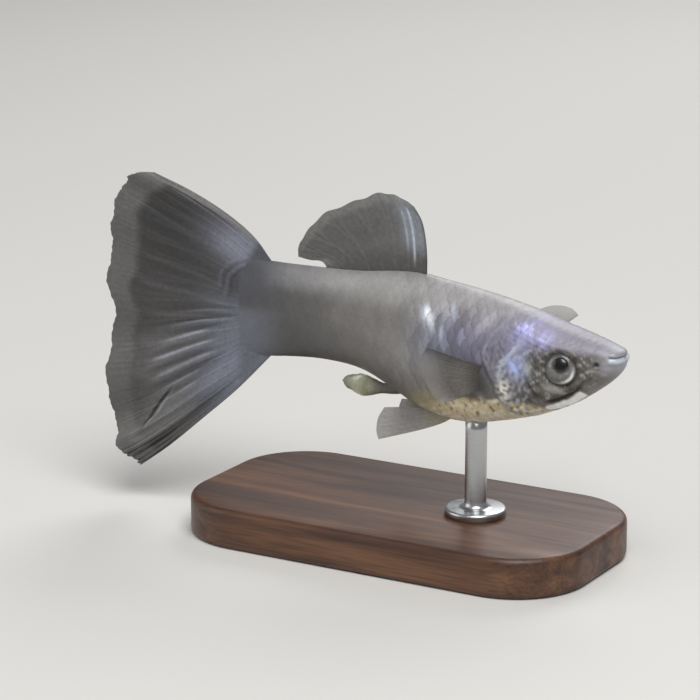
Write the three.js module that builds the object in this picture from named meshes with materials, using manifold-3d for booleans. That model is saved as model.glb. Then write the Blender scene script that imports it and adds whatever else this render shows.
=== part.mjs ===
// A male fancy guppy at life size, held over a flat base by one short rod.
// Millimetres, +X towards the head, +Y to the fish's left, +Z up.
// The origin is the middle of the base's underside.

import * as THREE from 'three';
import { mergeVertices } from 'three/addons/utils/BufferGeometryUtils.js';
import Module from 'manifold-3d';

const wasm = await Module();
wasm.setup();

// Driving sizes of the fish. Its own coordinates are s, back from the snout, y, and h, up from the snout.
const snoutX = 18.5;
const snoutZ = 17.4;
const bodyLength = 31.4;
const gap = 0.3;
const splitAtStalk = 25.4;

// The midline bends to the right behind the belly, as in a slow swimming stroke.
const bendStart = 16;
const bendSpan = 30;
const bendDepth = 2.6;

// Fins: the membrane's half thickness, the height of a ray and where the root swelling ends.
const finHalf = 0.26;
const finTipHalf = 0.14;
const rayHeight = 0.13;
const rootHalf = 0.36;
const rootShare = 0.22;
const marginShare = 0.86;

// Eyes
const eyeCentre = { s: 4.42, y: 1.66, h: -1.02 };
const eyeRadius = 1.28;
const eyeDepth = 0.98;
const eyeForward = 0.2;
const eyeUp = 0.08;

// Mouth, set at the very tip of the snout and facing up
const mouthLevel = 0.12;
const mouthGap = 0.22;
const mouthDepth = 1.3;
const mouthWidth = 6;
const aheadOfMouth = 2;
const upperLip = { level: 0.37, radius: 0.2 };
const lowerLip = { level: -0.16, radius: 0.27 };
const nostril = { s: 1.9, y: 1.62, h: -0.42, radius: 0.27 };

// The gill cover stands a little proud of the shoulder behind it.
const gillRise = 0.16;

// Stand
const baseLength = 34;
const baseWidth = 18;
const baseHeight = 3.2;
const baseCorner = 6;
const baseChamfer = 0.5;
const rodRadius = 0.85;
const rodAt = 12.4;
const rodFootRadius = 2.4;
const rodFootHeight = 0.9;
const rodRecess = 0.6;

// Body sections: s, top, bottom, level of the widest point, half width, roundness above and below.
const sections = [
  [0.0, 0.0, -0.3, -0.12, 0.0, 2.2, 2.0],
  [0.2, 0.42, -1.02, -0.2, 0.98, 2.2, 2.0],
  [0.9, 0.78, -1.86, -0.32, 1.45, 2.4, 2.0],
  [2.2, 1.16, -2.9, -0.48, 1.8, 2.6, 2.0],
  [3.6, 1.52, -3.86, -0.66, 2.14, 2.7, 2.0],
  [5.2, 1.93, -4.68, -0.8, 2.45, 2.6, 2.0],
  [7.2, 2.52, -5.46, -0.9, 2.72, 2.4, 2.0],
  [9.8, 3.18, -6.2, -0.95, 2.9, 2.2, 2.0],
  [12.6, 3.7, -6.76, -1.0, 2.88, 2.1, 2.0],
  [15.2, 4.08, -6.7, -0.9, 2.66, 2.0, 2.0],
  [17.4, 4.36, -6.12, -0.6, 2.38, 2.0, 2.0],
  [19.6, 4.28, -5.0, -0.3, 2.08, 2.0, 2.0],
  [22.0, 4.0, -3.95, -0.1, 1.78, 2.0, 2.0],
  [25.5, 3.86, -3.5, 0.05, 1.38, 2.0, 2.0],
  [29.0, 3.86, -3.66, 0.05, 0.95, 2.0, 2.0],
  [32.0, 3.98, -4.0, 0.0, 0.46, 2.0, 2.0],
];

const clamp01 = (t) => Math.min(1, Math.max(0, t));
const smooth = (a, b, t) => THREE.MathUtils.smoothstep(t, a, b);

function midline(s) {
  return -bendDepth * (Math.max(s - bendStart, 0) / bendSpan) ** 2;
}

function at(s, y, h) {
  return new THREE.Vector3(snoutX - s, y, snoutZ + h);
}

// One value of the section table at s, by a smooth cubic in the square root of s, which rounds the snout.
function sectionValue(column, s) {
  const q = sections.map((row) => Math.sqrt(row[0]));
  const x = Math.sqrt(s);
  const last = sections.length - 2;
  let i = 0;
  while (i < last && x > q[i + 1]) i += 1;
  const slope = (k) => {
    const step = (n) => (sections[n + 1][column] - sections[n][column]) / (q[n + 1] - q[n]);
    if (k === 0) return step(0);
    if (k === sections.length - 1) return step(k - 1);
    const before = q[k] - q[k - 1];
    const after = q[k + 1] - q[k];
    return (step(k - 1) * after + step(k) * before) / (before + after);
  };
  const width = q[i + 1] - q[i];
  const t = (x - q[i]) / width;
  const t2 = t * t;
  const t3 = t2 * t;
  return (2 * t3 - 3 * t2 + 1) * sections[i][column] + (t3 - 2 * t2 + t) * width * slope(i)
    + (3 * t2 - 2 * t3) * sections[i + 1][column] + (t3 - t2) * width * slope(i + 1);
}

// How far the gill cover rises over the plain body at a point of the flank.
function gillSwelling(s, h) {
  const along = smooth(6.2, 8.4, s);
  const below = 1 - smooth(0.8, 2.0, h);
  const above = smooth(-5.6, -4.6, h);
  return gillRise * along * below * above;
}

// A point of the body: a section of two half superellipses that share their widest level.
function bodyPoint(s, angle, swelling) {
  const up = Math.cos(angle);
  const side = Math.sin(angle);
  const roundness = sectionValue(up > 0 ? 5 : 6, s);
  const mid = sectionValue(3, s);
  const reach = up > 0 ? sectionValue(1, s) - mid : mid - sectionValue(2, s);
  const y = sectionValue(4, s) * Math.sign(side) * Math.abs(side) ** (2 / roundness);
  const h = reach * Math.sign(up) * Math.abs(up) ** (2 / roundness);
  const radius = Math.hypot(y, h) || 1;
  const more = 1 + swelling(s, mid + h) / radius;
  return at(s, y * more + midline(s), mid + h * more);
}

function top(s) {
  return sectionValue(1, s);
}

// A closed skin: a sphere's net of vertices moved to place by their row and their angle.
function netGeometry(around, along, place) {
  const geometry = new THREE.SphereGeometry(1, around, along);
  const uv = geometry.attributes.uv;
  const position = geometry.attributes.position;
  for (let i = 0; i < position.count; i += 1) {
    const row = Math.round((1 - uv.getY(i)) * along);
    const column = Math.floor(i % (around + 1)) % around;
    const p = place(row, (column / around) * 2 * Math.PI);
    position.setXYZ(i, p.x, p.y, p.z);
  }
  return geometry;
}

// The body, grown outwards by a given distance along its own normals.
const aroundBody = 40;
const alongBody = 42;
function bodyGeometry(swelling, grow) {
  const lastRing = alongBody - 1;
  const stationOf = (row) => bodyLength * (row / lastRing) ** 1.7;
  const place = (row, turn) => {
    const angle = -turn;
    if (row === 0) return at(-grow, 0, sectionValue(3, 0));
    if (row === alongBody) return at(bodyLength + grow, midline(bodyLength), 0);
    const s = stationOf(row);
    const p = bodyPoint(s, angle, swelling);
    if (grow === 0) return p;
    const step = 0.02;
    const ahead = bodyPoint(s - Math.min(step, s), angle, swelling);
    const alongStep = bodyPoint(s + step, angle, swelling).sub(ahead);
    const aroundStep = bodyPoint(s, angle + step, swelling).sub(bodyPoint(s, angle - step, swelling));
    const normal = alongStep.cross(aroundStep).normalize();
    if (normal.dot(p.clone().sub(at(s, midline(s), sectionValue(3, s)))) < 0) normal.negate();
    const moved = p.addScaledVector(normal, grow);
    if (row === lastRing) moved.x -= grow;
    return moved;
  };
  return netGeometry(aroundBody, alongBody, place);
}

function toSolid(geometry) {
  const bare = geometry.clone();
  bare.deleteAttribute('normal');
  bare.deleteAttribute('uv');
  const merged = mergeVertices(bare, 1e-5);
  const index = merged.index.array;
  const kept = [];
  for (let i = 0; i < index.length; i += 3) {
    const [a, b, c] = [index[i], index[i + 1], index[i + 2]];
    if (a !== b && b !== c && c !== a) kept.push(a, b, c);
  }
  return new wasm.Manifold(new wasm.Mesh({
    numProp: 3,
    vertProperties: new Float32Array(merged.attributes.position.array),
    triVerts: new Uint32Array(kept),
  }));
}

// The largest closed surface of a solid, as a geometry.
function toGeometry(solid) {
  const pieces = solid.decompose();
  pieces.sort((a, b) => b.volume() - a.volume());
  const mesh = pieces[0].getMesh();
  const geometry = new THREE.BufferGeometry();
  geometry.setAttribute('position', new THREE.BufferAttribute(new Float32Array(mesh.vertProperties), 3));
  geometry.setIndex(new THREE.BufferAttribute(new Uint32Array(mesh.triVerts), 1));
  geometry.computeVertexNormals();
  return geometry;
}

// A block of the side view, bounded by a polygon of [s, h] and wide enough to cover the fish.
function sideBlock(outline) {
  const reach = 20;
  const shape = new THREE.Shape(outline.map(([s, h]) => new THREE.Vector2(snoutX - s, snoutZ + h)));
  const geometry = new THREE.ExtrudeGeometry(shape, { depth: 2 * reach, bevelEnabled: false });
  geometry.rotateX(Math.PI / 2);
  geometry.translate(0, reach, 0);
  return toSolid(geometry);
}

// The rear edge of the gill cover, from the nape down to the throat.
const gillLine = new THREE.SplineCurve([
  [7.9, 6.0], [8.25, 3.6], [9.1, 2.0], [10.05, 0.7], [10.4, -0.5], [10.1, -1.5], [9.55, -2.6], [9.25, -3.6],
  [8.7, -4.6], [7.9, -5.5], [6.9, -8.5],
].map(([s, h]) => new THREE.Vector2(s, h))).getPoints(24).map((p) => [p.x, p.y]);

const farAhead = -4;
const farBehind = 60;
const farUp = 20;
const farDown = -20;

const noSwelling = () => 0;
const plainBody = toSolid(bodyGeometry(noSwelling, 0));
const wideBody = toSolid(bodyGeometry(noSwelling, gap));
const gilledBody = toSolid(bodyGeometry(gillSwelling, 0));

function makeLip({ level, radius }) {
  const path = new THREE.CatmullRomCurve3([
    [1.5, -1.5], [0.72, -1.26], [0.2, -0.76], [0.02, 0], [0.2, 0.76], [0.72, 1.26], [1.5, 1.5],
  ].map(([s, y]) => at(s, y, level)));
  const section = new THREE.Shape();
  section.absarc(0, 0, radius, 0, 2 * Math.PI);
  const settings = { steps: 14, curveSegments: 4, bevelEnabled: false, extrudePath: path };
  return toSolid(new THREE.ExtrudeGeometry(section, settings));
}

// An eye's ball, flattened along its own axis, which points out and slightly forward and up.
function eyeBall(side, grow) {
  const ball = new THREE.SphereGeometry(1, 18, 12);
  ball.scale(eyeRadius + grow, eyeDepth + grow, eyeRadius + grow);
  ball.rotateX(side * eyeUp);
  ball.rotateZ(-side * eyeForward);
  const c = at(eyeCentre.s, side * eyeCentre.y, eyeCentre.h);
  ball.translate(c.x, c.y, c.z);
  return ball;
}

function makeHead() {
  const ahead = sideBlock([[farAhead, farUp], ...gillLine, [farAhead, farDown]]);
  let head = gilledBody.intersect(ahead).add(makeLip(upperLip)).add(makeLip(lowerLip));
  const slit = new THREE.BoxGeometry(aheadOfMouth + mouthDepth, mouthWidth, mouthGap);
  const middle = at((mouthDepth - aheadOfMouth) / 2, 0, mouthLevel);
  slit.translate(middle.x, middle.y, middle.z);
  head = head.subtract(toSolid(slit));
  for (const side of [-1, 1]) {
    head = head.subtract(toSolid(eyeBall(side, gap)));
    const pit = new THREE.SphereGeometry(nostril.radius, 10, 8);
    const p = at(nostril.s, side * nostril.y, nostril.h);
    pit.translate(p.x, p.y, p.z);
    head = head.subtract(toSolid(pit));
  }
  return toGeometry(head);
}

function makeTrunk() {
  const behindGill = gillLine.map(([s, h]) => [s + gap, h]);
  const rear = splitAtStalk - gap / 2;
  const block = sideBlock([...behindGill, [rear, farDown], [rear, farUp]]);
  return toGeometry(plainBody.intersect(block));
}

function makeStalk() {
  const front = splitAtStalk + gap / 2;
  const block = sideBlock([[front, farUp], [front, farDown], [farBehind, farDown], [farBehind, farUp]]);
  return toGeometry(plainBody.intersect(block));
}

// A fin: a patch between four edges, with ridges along its rays on both faces.
// base and margin run from the first ray to the last, first and last run from root to tip.
function finGeometry({ base, margin, first, last, rays, perRay, rows, wave, reachRoot = rootHalf }) {
  const columns = rays * perRay;
  const mid = (u, v) => {
    const p = base(u).multiplyScalar(1 - v).addScaledVector(margin(u), v);
    const spare = (edge) => edge(v).addScaledVector(edge(0), v - 1).addScaledVector(edge(1), -v);
    p.addScaledVector(spare(first), 1 - u).addScaledVector(spare(last), u);
    p.y += wave(u, v);
    return p;
  };
  const half = (u, v) => {
    const phase = u * rays - 0.5;
    const ridge = Math.max(0, Math.cos(phase * 2 * Math.PI));
    const root = reachRoot + (finHalf - reachRoot) * smooth(0, rootShare, v);
    const tip = THREE.MathUtils.lerp(root, finTipHalf, smooth(marginShare, 1, v));
    return tip + rayHeight * ridge * (1 - smooth(marginShare, 1, v));
  };
  const step = 0.01;
  const normal = (u, v) => {
    const du = mid(clamp01(u + step), v).sub(mid(clamp01(u - step), v));
    const dv = mid(u, clamp01(v + step)).sub(mid(u, clamp01(v - step)));
    return du.cross(dv).normalize();
  };
  const points = [];
  const sides = [1, -1];
  for (const side of sides) {
    for (let j = 0; j <= rows; j += 1) {
      for (let i = 0; i <= columns; i += 1) {
        const [u, v] = [i / columns, j / rows];
        const p = mid(u, v).addScaledVector(normal(u, v), side * half(u, v));
        points.push(p.x, p.y, p.z);
      }
    }
  }
  const face = (columns + 1) * (rows + 1);
  const id = (side, i, j) => side * face + j * (columns + 1) + i;
  const index = [];
  const quad = (a, b, c, d) => index.push(a, b, c, a, c, d);
  for (let j = 0; j < rows; j += 1) {
    for (let i = 0; i < columns; i += 1) {
      quad(id(0, i, j), id(0, i + 1, j), id(0, i + 1, j + 1), id(0, i, j + 1));
      index.push(id(1, i, j), id(1, i + 1, j + 1), id(1, i + 1, j));
      index.push(id(1, i, j), id(1, i, j + 1), id(1, i + 1, j + 1));
    }
  }
  for (let i = 0; i < columns; i += 1) {
    quad(id(0, i, 0), id(1, i, 0), id(1, i + 1, 0), id(0, i + 1, 0));
    quad(id(0, i + 1, rows), id(1, i + 1, rows), id(1, i, rows), id(0, i, rows));
  }
  for (let j = 0; j < rows; j += 1) {
    quad(id(0, 0, j + 1), id(1, 0, j + 1), id(1, 0, j), id(0, 0, j));
    quad(id(0, columns, j), id(1, columns, j), id(1, columns, j + 1), id(0, columns, j + 1));
  }
  const geometry = new THREE.BufferGeometry();
  geometry.setAttribute('position', new THREE.BufferAttribute(new Float32Array(points), 3));
  geometry.setAttribute('normal', new THREE.BufferAttribute(new Float32Array(points.length), 3));
  geometry.setAttribute('uv', new THREE.BufferAttribute(new Float32Array((points.length / 3) * 2), 2));
  geometry.setIndex(index);
  return geometry;
}

// A fin's root is cut to the shape of the body it stands on, with the gap that touching pieces keep.
function rooted(geometry) {
  return toGeometry(toSolid(geometry).subtract(wideBody));
}

function curve(points) {
  const line = new THREE.CatmullRomCurve3(points.map(([s, h, y = 0]) => new THREE.Vector3(s, y, h)));
  return (t) => {
    const p = line.getPoint(t);
    return at(p.x, p.y + midline(p.x), p.z);
  };
}

function makeCaudal() {
  const rays = 14;
  const rear = curve([
    [42.4, -14.45], [43.9, -12.8], [44.65, -9.6], [44.75, -4.6], [44.65, 0.4], [44.35, 4.6], [43.6, 8.3],
    [42.3, 9.9], [40.6, 10.1],
  ]);
  const notchAt = 0.455;
  const notchWidth = 0.03;
  const notchDepth = 0.85;
  const awayFromEnds = (u) => smooth(0, 0.08, Math.min(u, 1 - u));
  const ragged = (u) => (0.09 * Math.sin(u * 61) + 0.07 * Math.sin(u * 97 + 1)) * awayFromEnds(u);
  const margin = (u) => {
    const p = rear(u);
    p.x += notchDepth * Math.exp(-(((u - notchAt) / notchWidth) ** 2)) - ragged(u);
    return p;
  };
  const lowerFold = 0.6;
  const upperFold = 0.3;
  const wave = (u, v) => {
    const depth = THREE.MathUtils.lerp(lowerFold, upperFold, smooth(0.35, 0.65, u));
    return depth * v * Math.sin(2 * Math.PI * (5.2 * u + 0.15 * v)) * smooth(0.05, 0.5, v);
  };
  return rooted(finGeometry({
    base: curve([[30.4, -3.75], [30.9, 0], [30.4, 3.95]]),
    margin,
    first: curve([[30.4, -3.75], [33.5, -6.95], [36.2, -9.35], [39.7, -12.4], [42.4, -14.45]]),
    last: curve([[30.4, 3.95], [31.8, 5.6], [33.9, 7.1], [37.1, 8.75], [40.6, 10.1]]),
    rays,
    perRay: 4,
    rows: 11,
    wave,
    reachRoot: 0.42,
  }));
}

function makeDorsal() {
  const sunk = 0.5;
  const [frontAt, rearAt] = [16.8, 25.2];
  const base = (u) => {
    const s = THREE.MathUtils.lerp(frontAt, rearAt, u);
    return at(s, midline(s), top(s) - sunk);
  };
  const frontRoot = [frontAt, top(frontAt) - sunk];
  const rearRoot = [rearAt, top(rearAt) - sunk];
  const rays = 8;
  const scallop = 0.08;
  const rim = curve([
    [18.1, 9.4], [19.4, 9.95], [20.9, 10.2], [22.9, 9.45], [25.5, 8.2], [27.2, 6.45], [28.1, 5.1],
    [28.3, 4.35],
  ]);
  const margin = (u) => {
    const p = rim(u);
    p.z += scallop * Math.sin(Math.PI * u) * Math.cos(2 * Math.PI * (rays * u - 0.5));
    return p;
  };
  return rooted(finGeometry({
    base,
    margin,
    first: curve([frontRoot, [16.8, 5.5], [17.0, 7.0], [17.4, 8.4], [18.1, 9.4]]),
    last: curve([rearRoot, [25.9, 4.22], [27.2, 4.24], [28.3, 4.35]]),
    rays,
    perRay: 2,
    rows: 9,
    wave: (u, v) => 0.5 * v * Math.sin(2 * Math.PI * (1.1 * u + 0.1)) * smooth(0, 0.6, v),
  }));
}

// A paired fin fans out from a short root line to a rounded margin. Its leading edge may bulge down.
function makePaired({ root, margin, rays, rows, cup, bulge = 0 }) {
  const base = curve(root);
  const rim = curve(margin);
  const straight = (a, b) => (t) => a.clone().lerp(b, t);
  const bulging = (edge) => (t) => {
    const p = edge(t);
    p.z -= bulge * Math.sin(Math.PI * Math.sqrt(t));
    return p;
  };
  return rooted(finGeometry({
    base,
    margin: rim,
    first: bulging(straight(base(0), rim(0))),
    last: straight(base(1), rim(1)),
    rays,
    perRay: 2,
    rows,
    wave: (u, v) => cup * v * v * Math.sin(Math.PI * u),
    reachRoot: 0.32,
  }));
}

// Points are [s, h, y]. The right fin sweeps back and out, the left one spreads forward and up.
function makeRightPectoral() {
  return makePaired({
    root: [[9.95, -1.75, -2.3], [10.35, -2.5, -2.35], [10.6, -3.25, -2.2]],
    margin: [
      [13.5, 0.35, -6.0], [14.0, -0.5, -6.25], [13.75, -2.0, -6.35], [13.1, -3.4, -6.0], [12.4, -4.05, -5.4],
    ],
    rays: 9,
    rows: 8,
    cup: 0.35,
  });
}

function makeLeftPectoral() {
  return makePaired({
    root: [[9.95, -1.75, 2.3], [10.35, -2.5, 2.35], [10.6, -3.25, 2.2]],
    margin: [[7.6, 0.55, 7.7], [8.5, 0.85, 8.1], [10.2, 0.85, 8.1], [11.7, 0.15, 7.6], [12.6, -0.95, 6.9]],
    rays: 9,
    rows: 8,
    cup: 0.35,
  });
}

function makePelvic(side) {
  return makePaired({
    root: [[13.9, -6.2, side * 0.8], [14.8, -6.1, side * 0.65], [15.6, -5.9, side * 0.5]],
    margin: [
      [19.6, -8.6, side * 2.5], [20.0, -8.1, side * 2.3], [20.1, -7.2, side * 1.9], [19.7, -6.3, side * 1.4],
    ],
    rays: 6,
    rows: 7,
    cup: -side * 0.25,
    bulge: 0.4,
  });
}

// The male's long anal fin, folded to a rod that thickens towards its tip.
function makeGonopodium() {
  const spine = curve([[18.0, -4.5], [19.8, -5.15], [21.6, -5.2], [24.15, -5.05]]);
  const bump = (t, centre, width) => Math.exp(-(((t - centre) / width) ** 2));
  const radius = (t) => 0.38 + 0.3 * bump(t, 0, 0.3) + 0.56 * bump(t, 0.76, 0.18);
  const rings = 14;
  const around = 12;
  const place = (row, angle) => {
    const t = clamp01((row - 1) / (rings - 2));
    const p = spine(t);
    if (row === 0 || row === rings) return p;
    const r = radius(t) * Math.sqrt(1 - 0.75 * smooth(0.88, 1, t));
    const squeeze = 0.62;
    return p.add(new THREE.Vector3(0, -squeeze * r * Math.sin(angle), r * Math.cos(angle)));
  };
  return rooted(netGeometry(around, rings, place));
}

function makeBase() {
  const [halfLength, halfWidth] = [baseLength / 2 - baseChamfer, baseWidth / 2 - baseChamfer];
  const corner = baseCorner - baseChamfer;
  const outline = new THREE.Shape();
  outline.absarc(halfLength - corner, -halfWidth + corner, corner, -Math.PI / 2, 0);
  outline.absarc(halfLength - corner, halfWidth - corner, corner, 0, Math.PI / 2);
  outline.absarc(-halfLength + corner, halfWidth - corner, corner, Math.PI / 2, Math.PI);
  outline.absarc(-halfLength + corner, -halfWidth + corner, corner, Math.PI, 1.5 * Math.PI);
  const plate = new THREE.ExtrudeGeometry(outline, {
    depth: baseHeight - 2 * baseChamfer,
    curveSegments: 4,
    bevelThickness: baseChamfer,
    bevelSize: baseChamfer,
    bevelSegments: 2,
  });
  plate.translate(0, 0, baseChamfer);
  const recess = new THREE.CylinderGeometry(rodFootRadius + gap, rodFootRadius + gap, 2 * rodRecess, 32);
  recess.rotateX(Math.PI / 2);
  recess.translate(snoutX - rodAt, 0, baseHeight);
  return toGeometry(toSolid(plate).subtract(toSolid(recess)));
}

// The rod has a round foot let into the base, and its top is cut to the belly.
function makeRod() {
  const foot = baseHeight - rodRecess + gap;
  const reach = snoutZ + sectionValue(2, rodAt) + 1.5;
  const profile = [
    [0, foot],
    [rodFootRadius, foot],
    [rodFootRadius, foot + rodFootHeight * 0.6],
    [rodFootRadius - 0.3, foot + rodFootHeight],
    [rodRadius + 0.4, foot + rodFootHeight],
    [rodRadius, foot + rodFootHeight + 0.4],
    [rodRadius, reach],
    [0, reach],
  ].map(([r, z]) => new THREE.Vector2(r, z));
  const rod = new THREE.LatheGeometry(profile, 24);
  rod.rotateX(Math.PI / 2);
  rod.translate(snoutX - rodAt, 0, 0);
  return rooted(rod);
}

const finishes = {
  skin: new THREE.MeshStandardMaterial({ color: 0x8a8791, roughness: 0.42, metalness: 0 }),
  eye: new THREE.MeshStandardMaterial({ color: 0x2a2a2e, roughness: 0.1, metalness: 0 }),
  fin: new THREE.MeshStandardMaterial({ color: 0x6a6664, roughness: 0.5, metalness: 0 }),
  gonopodium: new THREE.MeshStandardMaterial({ color: 0xa3a286, roughness: 0.5, metalness: 0 }),
  wood: new THREE.MeshStandardMaterial({ color: 0x4a3022, roughness: 0.45, metalness: 0 }),
  steel: new THREE.MeshStandardMaterial({ color: 0xb9bbbd, roughness: 0.3, metalness: 1 }),
};

const guppy = new THREE.Group();

function addNode(name, geometry, finish) {
  const mesh = new THREE.Mesh(geometry, finishes[finish]);
  mesh.name = name;
  guppy.add(mesh);
}

addNode('head', makeHead(), 'skin');
addNode('trunk', makeTrunk(), 'skin');
addNode('tail_stalk', makeStalk(), 'skin');
addNode('eye_right', toGeometry(toSolid(eyeBall(-1, 0))), 'eye');
addNode('eye_left', toGeometry(toSolid(eyeBall(1, 0))), 'eye');
addNode('caudal_fin', makeCaudal(), 'fin');
addNode('dorsal_fin', makeDorsal(), 'fin');
addNode('pectoral_fin_right', makeRightPectoral(), 'fin');
addNode('pectoral_fin_left', makeLeftPectoral(), 'fin');
addNode('pelvic_fin_right', makePelvic(-1), 'fin');
addNode('pelvic_fin_left', makePelvic(1), 'fin');
addNode('gonopodium', makeGonopodium(), 'gonopodium');
addNode('stand_base', makeBase(), 'wood');
addNode('stand_rod', makeRod(), 'steel');

export default guppy;
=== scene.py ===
"""A male fancy guppy at life size on its display stand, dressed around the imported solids.

The fish's own coordinates are s, back from the snout, y to its left and h, up from the snout, in millimetres.
"""
import math
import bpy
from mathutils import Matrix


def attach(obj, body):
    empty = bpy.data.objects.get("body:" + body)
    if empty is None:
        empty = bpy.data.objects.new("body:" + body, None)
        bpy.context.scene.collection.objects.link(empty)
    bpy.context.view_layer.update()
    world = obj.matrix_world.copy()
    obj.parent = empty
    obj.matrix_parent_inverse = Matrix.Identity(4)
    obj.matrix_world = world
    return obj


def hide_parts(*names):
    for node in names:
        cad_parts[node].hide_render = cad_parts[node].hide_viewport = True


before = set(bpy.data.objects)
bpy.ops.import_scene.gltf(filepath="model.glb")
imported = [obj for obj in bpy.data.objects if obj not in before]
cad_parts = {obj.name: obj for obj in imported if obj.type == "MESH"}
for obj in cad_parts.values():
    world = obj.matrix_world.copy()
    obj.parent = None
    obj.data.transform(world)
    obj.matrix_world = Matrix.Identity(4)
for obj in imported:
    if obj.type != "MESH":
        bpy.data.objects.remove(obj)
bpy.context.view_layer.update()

from types import SimpleNamespace

import bpy
import numpy as np
from mathutils import Vector

MM = 0.001

# Place of the snout over the origin, and the bend of the midline, as in the solids
SNOUT_X, SNOUT_Z = 18.5, 17.4
BEND_START, BEND_SPAN, BEND_DEPTH = 16.0, 30.0, 2.6
SKIN_LENGTH = 33.4

# Stand
BASE_LENGTH, BASE_WIDTH, BASE_HEIGHT = 34.0, 18.0, 3.2
BASE_CORNER, BASE_ROUND = 6.0, 0.5
ROD_AT, ROD_RADIUS, ROD_FOOT, ROD_STEP, ROD_FILLET = 12.4, 0.85, 2.4, 0.6, 0.5

# Photo frame: its side in pixels, the scale at the fish and the camera's distance
PHOTO_SIDE, PIXELS_PER_MM = 700, 12.8
CAMERA_AZIMUTH, CAMERA_ELEVATION, CAMERA_DISTANCE = 30.0, 15.0, 240.0
LOOK_S, LOOK_H = 23.6, -2.58

# Body sections: s, top, bottom, level of the widest point, half width, roundness above and below
SECTIONS = np.array([
    [0.0, 0.0, -0.3, -0.12, 0.0, 2.2, 2.0],
    [0.2, 0.42, -1.02, -0.2, 0.98, 2.2, 2.0],
    [0.9, 0.78, -1.86, -0.32, 1.45, 2.4, 2.0],
    [2.2, 1.16, -2.9, -0.48, 1.8, 2.6, 2.0],
    [3.6, 1.52, -3.86, -0.66, 2.14, 2.7, 2.0],
    [5.2, 1.93, -4.68, -0.8, 2.45, 2.6, 2.0],
    [7.2, 2.52, -5.46, -0.9, 2.72, 2.4, 2.0],
    [9.8, 3.18, -6.2, -0.95, 2.9, 2.2, 2.0],
    [12.6, 3.7, -6.76, -1.0, 2.88, 2.1, 2.0],
    [15.2, 4.08, -6.7, -0.9, 2.66, 2.0, 2.0],
    [17.4, 4.36, -6.12, -0.6, 2.38, 2.0, 2.0],
    [19.6, 4.28, -5.0, -0.3, 2.08, 2.0, 2.0],
    [22.0, 4.0, -3.95, -0.1, 1.78, 2.0, 2.0],
    [25.5, 3.86, -3.5, 0.05, 1.38, 2.0, 2.0],
    [29.0, 3.86, -3.66, 0.05, 0.95, 2.0, 2.0],
    [30.6, 3.9, -3.82, 0.0, 0.66, 2.0, 2.0],
    [32.2, 3.8, -3.75, 0.0, 0.28, 2.0, 2.0],
    [33.4, 3.2, -3.2, 0.0, 0.06, 2.0, 2.0],
])

# Eye: centre, radius, depth along its axis, and the lean of that axis
EYE_S, EYE_Y, EYE_H = 4.42, 1.66, -1.02
EYE_RADIUS, EYE_DEPTH, EYE_FORWARD, EYE_UP = 1.28, 0.98, 0.2, 0.08

# Rear edge of the gill cover, from the nape to the throat
GILL_LINE = [(7.9, 6.0), (8.25, 3.6), (9.1, 2.0), (10.05, 0.7), (10.4, -0.5), (10.1, -1.5), (9.55, -2.6),
             (9.25, -3.6), (8.7, -4.6), (7.9, -5.5), (6.9, -8.5)]
# Edge of the bony plate on the gill cover, with the soft flap behind it
PLATE_LINE = [(7.4, 1.6), (7.7, 0.6), (8.2, -0.1), (8.95, -0.9), (9.25, -1.9), (9.05, -2.9), (8.8, -3.5),
              (8.95, -4.2)]
# Folds of the cheek and throat, the ridge over the eye, the jaw's groove and the line of the painted
# highlight under the throat
CHEEK_FOLD = [(6.1, 0.7), (6.75, -0.6), (6.9, -2.0), (6.35, -3.3), (5.4, -3.9), (4.4, -3.6)]
THROAT_CREASE = [(5.3, -3.75), (4.85, -3.6), (4.2, -3.3), (3.55, -2.9), (2.9, -2.3), (2.2, -1.5)]
BROW_RIDGE = [(1.6, 0.45), (3.0, 0.55), (4.5, 0.65), (6.0, 0.95), (7.6, 1.35)]
JAW_GROOVE = [(1.15, 0.05), (1.5, -0.75), (1.95, -1.5), (2.5, -2.2)]
THROAT_HIGHLIGHT_LINE = [(3.0, -3.05), (3.66, -3.55), (4.3, -3.9), (5.0, -4.2), (5.6, -4.4)]
# Upper limit of the cream belly
BELLY_S, BELLY_TOP = [5.4, 6.3, 7.6, 9.2, 11.7, 14.0, 17.5], [-4.7, -4.25, -4.0, -3.95, -4.1, -4.7, -5.6]
MOUTH_LEVEL, MOUTH_DEPTH = 0.12, 0.8
NOSTRIL_S, NOSTRIL_H, NOSTRIL_RADIUS = 1.62, -0.44, 0.19

# Scales: pitch along the body and the number of half rows from back to belly
SCALE_PITCH, SCALE_ROWS, SCALE_RISE = 0.86, 16, 0.03


# Numbers and curves

def smooth(low, high, value):
    """A cubic step from 0 at low to 1 at high. It falls where low is the larger."""
    t = np.clip((value - low) / (high - low), 0, 1)
    return t * t * (3 - 2 * t)


def bell(value, width):
    """A bell curve of unit height."""
    return np.exp(-(value / width) ** 2)


def within(rise_from, rise_to, fall_from, fall_to, value):
    """A soft window of a value: it rises from 0 to 1, then falls back to 0."""
    return smooth(rise_from, rise_to, value) * (1 - smooth(fall_from, fall_to, value))


def spots(s, h, *ovals):
    """A sum of soft ovals, each a bell of the distance from its centre, measured in its radii after a turn.

    An oval is its strength, centre s and h, the two radii, and the turn in degrees where it has one.
    """
    total = 0.0
    for strength, at_s, at_h, radius_s, radius_h, *turn in ovals:
        a = math.radians(turn[0] if turn else 0)
        ds, dh = s - at_s, h - at_h
        along = (ds * math.cos(a) + dh * math.sin(a)) / radius_s
        across = (-ds * math.sin(a) + dh * math.cos(a)) / radius_h
        total = total + strength * np.exp(-(along ** 2 + across ** 2))
    return total


def linear(hex_colour):
    """An sRGB hex colour as linear red, green and blue."""
    parts = np.array([int(hex_colour[i:i + 2], 16) / 255 for i in (1, 3, 5)])
    return np.where(parts <= 0.04045, parts / 12.92, ((parts + 0.055) / 1.055) ** 2.4)


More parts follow.
